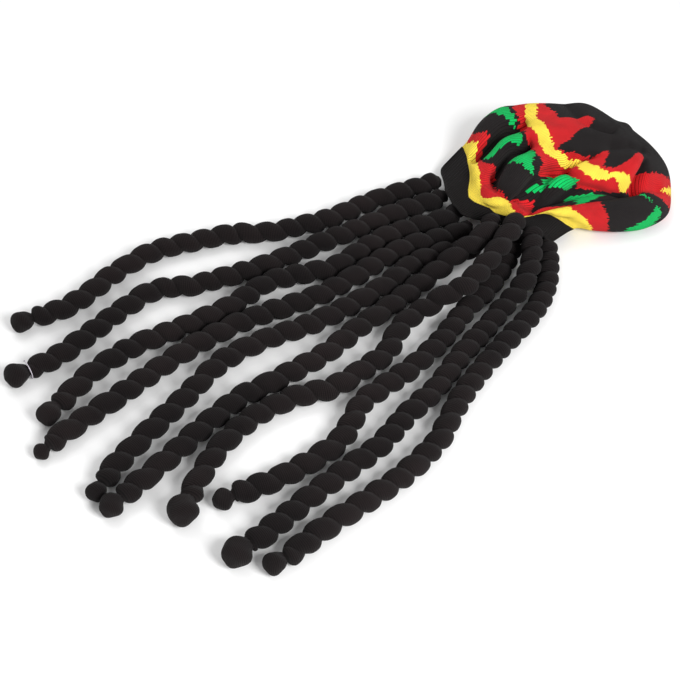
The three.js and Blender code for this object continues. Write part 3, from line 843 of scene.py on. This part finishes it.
def soft_relief(section, around):
    """How far puffs lift the knit and creases draw it in, in metres."""
    relief = np.zeros(section.shape)
    for puff in PUFFS:
        place, half = puff["place"], puff["half"]
        distance = ((around - place[0]) / half[0]) ** 2 + ((section - place[1]) / half[1]) ** 2
        relief += puff["height"] * np.exp(-distance)
    across = around * ROUND_RING
    along = section * ONE_SECTION
    for crease in CREASES:
        distance = distance_to_line(crease["line"], across, along) / crease["half_width"]
        relief -= crease["depth"] * np.exp(-distance**1.5)
    return relief * MM


def cap_normals(section, around):
    """Outward directions of the cap, from points a little to each side."""
    section_step, ring_step = 0.04, 0.004
    low = np.maximum(section - section_step, 0)
    high = np.minimum(section + section_step, LAST_SECTION - section_step / 2)
    along_section = cap_points(high, around) - cap_points(low, around)
    along_ring = cap_points(section, around + ring_step) - cap_points(section, around - ring_step)
    normal = -np.cross(along_section, along_ring)
    return normal / np.maximum(np.linalg.norm(normal, axis=-1), 1e-9)[..., None]


def edge_at(edge, around):
    """Section of a stripe's edge at each place round the ring."""
    places, sections = zip(*edge)
    return np.interp(around % 1, places, sections)


def inside_outline(outline, around, section):
    """Whether points lie inside a closed outline."""
    inside = np.zeros(around.shape, bool)
    for i in range(len(outline)):
        (x1, y1), (x2, y2) = outline[i - 1], outline[i]
        crosses = (y1 > section) != (y2 > section)
        with np.errstate(divide="ignore", invalid="ignore"):
            at = (x2 - x1) * (section - y1) / (y2 - y1) + x1
        inside ^= crosses & (around < at)
    return inside


def stripe_colours(section, around):
    """Yarn colour of each stitch from its section and its place round the ring."""
    colours = np.tile(np.array(BLACK), (*section.shape, 1))
    wale_steps = np.random.default_rng(7).choice(RAGGED_STEPS, section.shape[1])
    ragged = RAGGED_EDGE * wale_steps[None]
    for stripe in reversed(STRIPE_EDGES):
        colours[section < edge_at(stripe["edge"], around) + ragged] = stripe["yarn"]
    edges = {stripe["name"]: stripe["edge"] for stripe in STRIPE_EDGES}
    green = np.zeros(section.shape, bool)
    for outline in GREEN_PATCHES:
        green |= inside_outline(outline, around, section + GREEN_RAGGED * ragged)
    zigzag = HIDDEN_GREEN
    in_black = (section > edge_at(edges["first_red"], around) - zigzag["margin"]) & (
        section < edge_at(edges["first_black"], around) + zigzag["margin"])
    share = (around - zigzag["start"]) / (zigzag["end"] - zigzag["start"])
    wave = np.abs((share * zigzag["points"]) % 1 - 0.5) * 2
    middle = zigzag["low"] + (zigzag["high"] - zigzag["low"]) * wave
    hidden = (around > zigzag["start"]) & (around < zigzag["end"])
    green |= hidden & (np.abs(section - middle) < zigzag["half_width"]) & in_black
    colours[green] = GREEN
    return colours


def add_crown():
    """The striped crown: one face of the mesh is one stitch."""
    rows, columns = CROWN_COURSES, CROWN_WALES
    share = np.linspace(0, 1, rows + 1)[:, None]
    around = np.tile(np.arange(columns) / columns, (rows + 1, 1))
    seam = edge_at(SEAM_EDGE, around)
    section = seam + (LAST_SECTION - OPEN_MIDDLE - seam) * share
    lift = soft_relief(section, around) * smoothstep((section - seam) / RELIEF_START)
    points = cap_points(section, around)
    lowest, highest = LYING_PART
    raised = smoothstep((points[..., 2] - lowest) / (highest - lowest))
    points = points + cap_normals(section, around) * (lift * raised)[..., None]
    top = cap_points(np.array([LAST_SECTION - 1e-6]), np.array([0.0]))[0]

    def uv(row, column):
        rows_at, columns_at = quad_corners(row, column)
        return np.stack([columns_at, rows_at], -1).astype(float)

    mesh = strip_mesh("crown_knitted", points, uv, middle=top)
    stitch_section = (section[:-1] + section[1:]) / 2
    stitch_around = np.tile((np.arange(columns) + 0.5) / columns, (rows, 1))
    colours = stripe_colours(stitch_section, stitch_around)
    layer = mesh.color_attributes.new("yarn", "FLOAT_COLOR", "CORNER")
    corners = np.tile([*BLACK, 1.0], (len(mesh.loops), 1))
    corners[:rows * columns * 4, :3] = np.repeat(colours.reshape(-1, 3), 4, axis=0)
    layer.data.foreach_set("color", corners.ravel())
    piece = new_object("crown_knitted", mesh, crown_material())
    wall = piece.modifiers.new("wall", "SOLIDIFY")
    wall.thickness = CROWN_WALL
    wall.offset = -1
    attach(piece, "root")
    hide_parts("crown")


def add_band():
    """The ribbed band: out from the seam to the free edge, round it, and back inside."""
    columns = BAND_RIBS * POINTS_PER_RIB
    around = np.arange(columns) / columns
    seam = edge_at(SEAM_EDGE, around)
    rib = np.cos(2 * math.pi * BAND_RIBS * around)
    slow, fast = LIP_WAVES
    weaker = SECOND_LIP_WAVE * np.sin(2 * math.pi * fast * around + 1)
    lip = LIP_WAVE * (np.sin(2 * math.pi * slow * around) + weaker)
    rows = []

    def add_row(section, depth):
        rows.append(cap_points(section, around) - cap_normals(section, around) * depth[:, None])

    for share in np.linspace(1, 0, BAND_ROWS):
        rib_share = min(1, share * RIB_RISE + RIB_AT_LIP)
        add_row(lip + (seam - lip) * share, -RIB_HEIGHT * rib * rib_share)
    outer = cap_points(lip, around)
    normal = cap_normals(lip, around)
    outward = outer - cap_points(lip + LIP_STEP, around)
    outward /= np.linalg.norm(outward, axis=1)[:, None]
    half = BAND_WALL / 2
    for turn in np.linspace(0, math.pi, LIP_ROWS)[1:-1]:
        middle = outer - normal * half
        rows.append(middle + normal * half * math.cos(turn) + outward * half * math.sin(turn))
    for share in np.linspace(0, 1, BAND_ROWS // 2):
        add_row(lip + (seam - lip) * share, BAND_WALL + RIB_HEIGHT * rib)
    rows.append(rows[0])
    points = np.array(rows)
    points[..., 2] = np.maximum(points[..., 2], 0)

    def uv(row, column):
        rows_at, columns_at = quad_corners(row, column)
        return np.stack([columns_at / POINTS_PER_RIB * 2, rows_at * 1.0], -1)

    mesh = strip_mesh("band_ribbed", points, uv)
    piece = new_object("band_ribbed", mesh, band_material())
    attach(piece, "root")
    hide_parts("band")


# Studio lights and floor


def add_area_light(name, place, size, power):
    """A square light that faces the middle of the studio."""
    data = bpy.data.lights.new(name, "AREA")
    data.shape = "SQUARE"
    data.size = size
    data.energy = power
    lamp = bpy.data.objects.new(name, data)
    lamp.location = place
    x, y, z = np.array(STUDIO_MIDDLE) - np.array(place)
    lamp.rotation_euler = (math.atan2(math.hypot(x, y), -z), 0, math.atan2(y, x) - math.pi / 2)
    bpy.context.scene.collection.objects.link(lamp)


def add_studio():
    half = FLOOR_HALF
    mesh = bpy.data.meshes.new("floor")
    corners = [(-half, -half, 0), (half, -half, 0), (half, half, 0), (-half, half, 0)]
    mesh.from_pydata(corners, [], [(0, 1, 2, 3)])
    floor = new_object("floor", mesh, floor_material())
    for light in LIGHTS:
        add_area_light(**light)
    world = bpy.data.worlds.new("studio")
    world.use_nodes = True
    background = world.node_tree.nodes["Background"]
    background.inputs["Color"].default_value = (1, 1, 1, 1)
    background.inputs["Strength"].default_value = WORLD_STRENGTH
    bpy.context.scene.world = world
    bpy.context.scene.view_settings.view_transform = "Standard"


add_camera()
add_locks()
add_crown()
add_band()
add_studio()
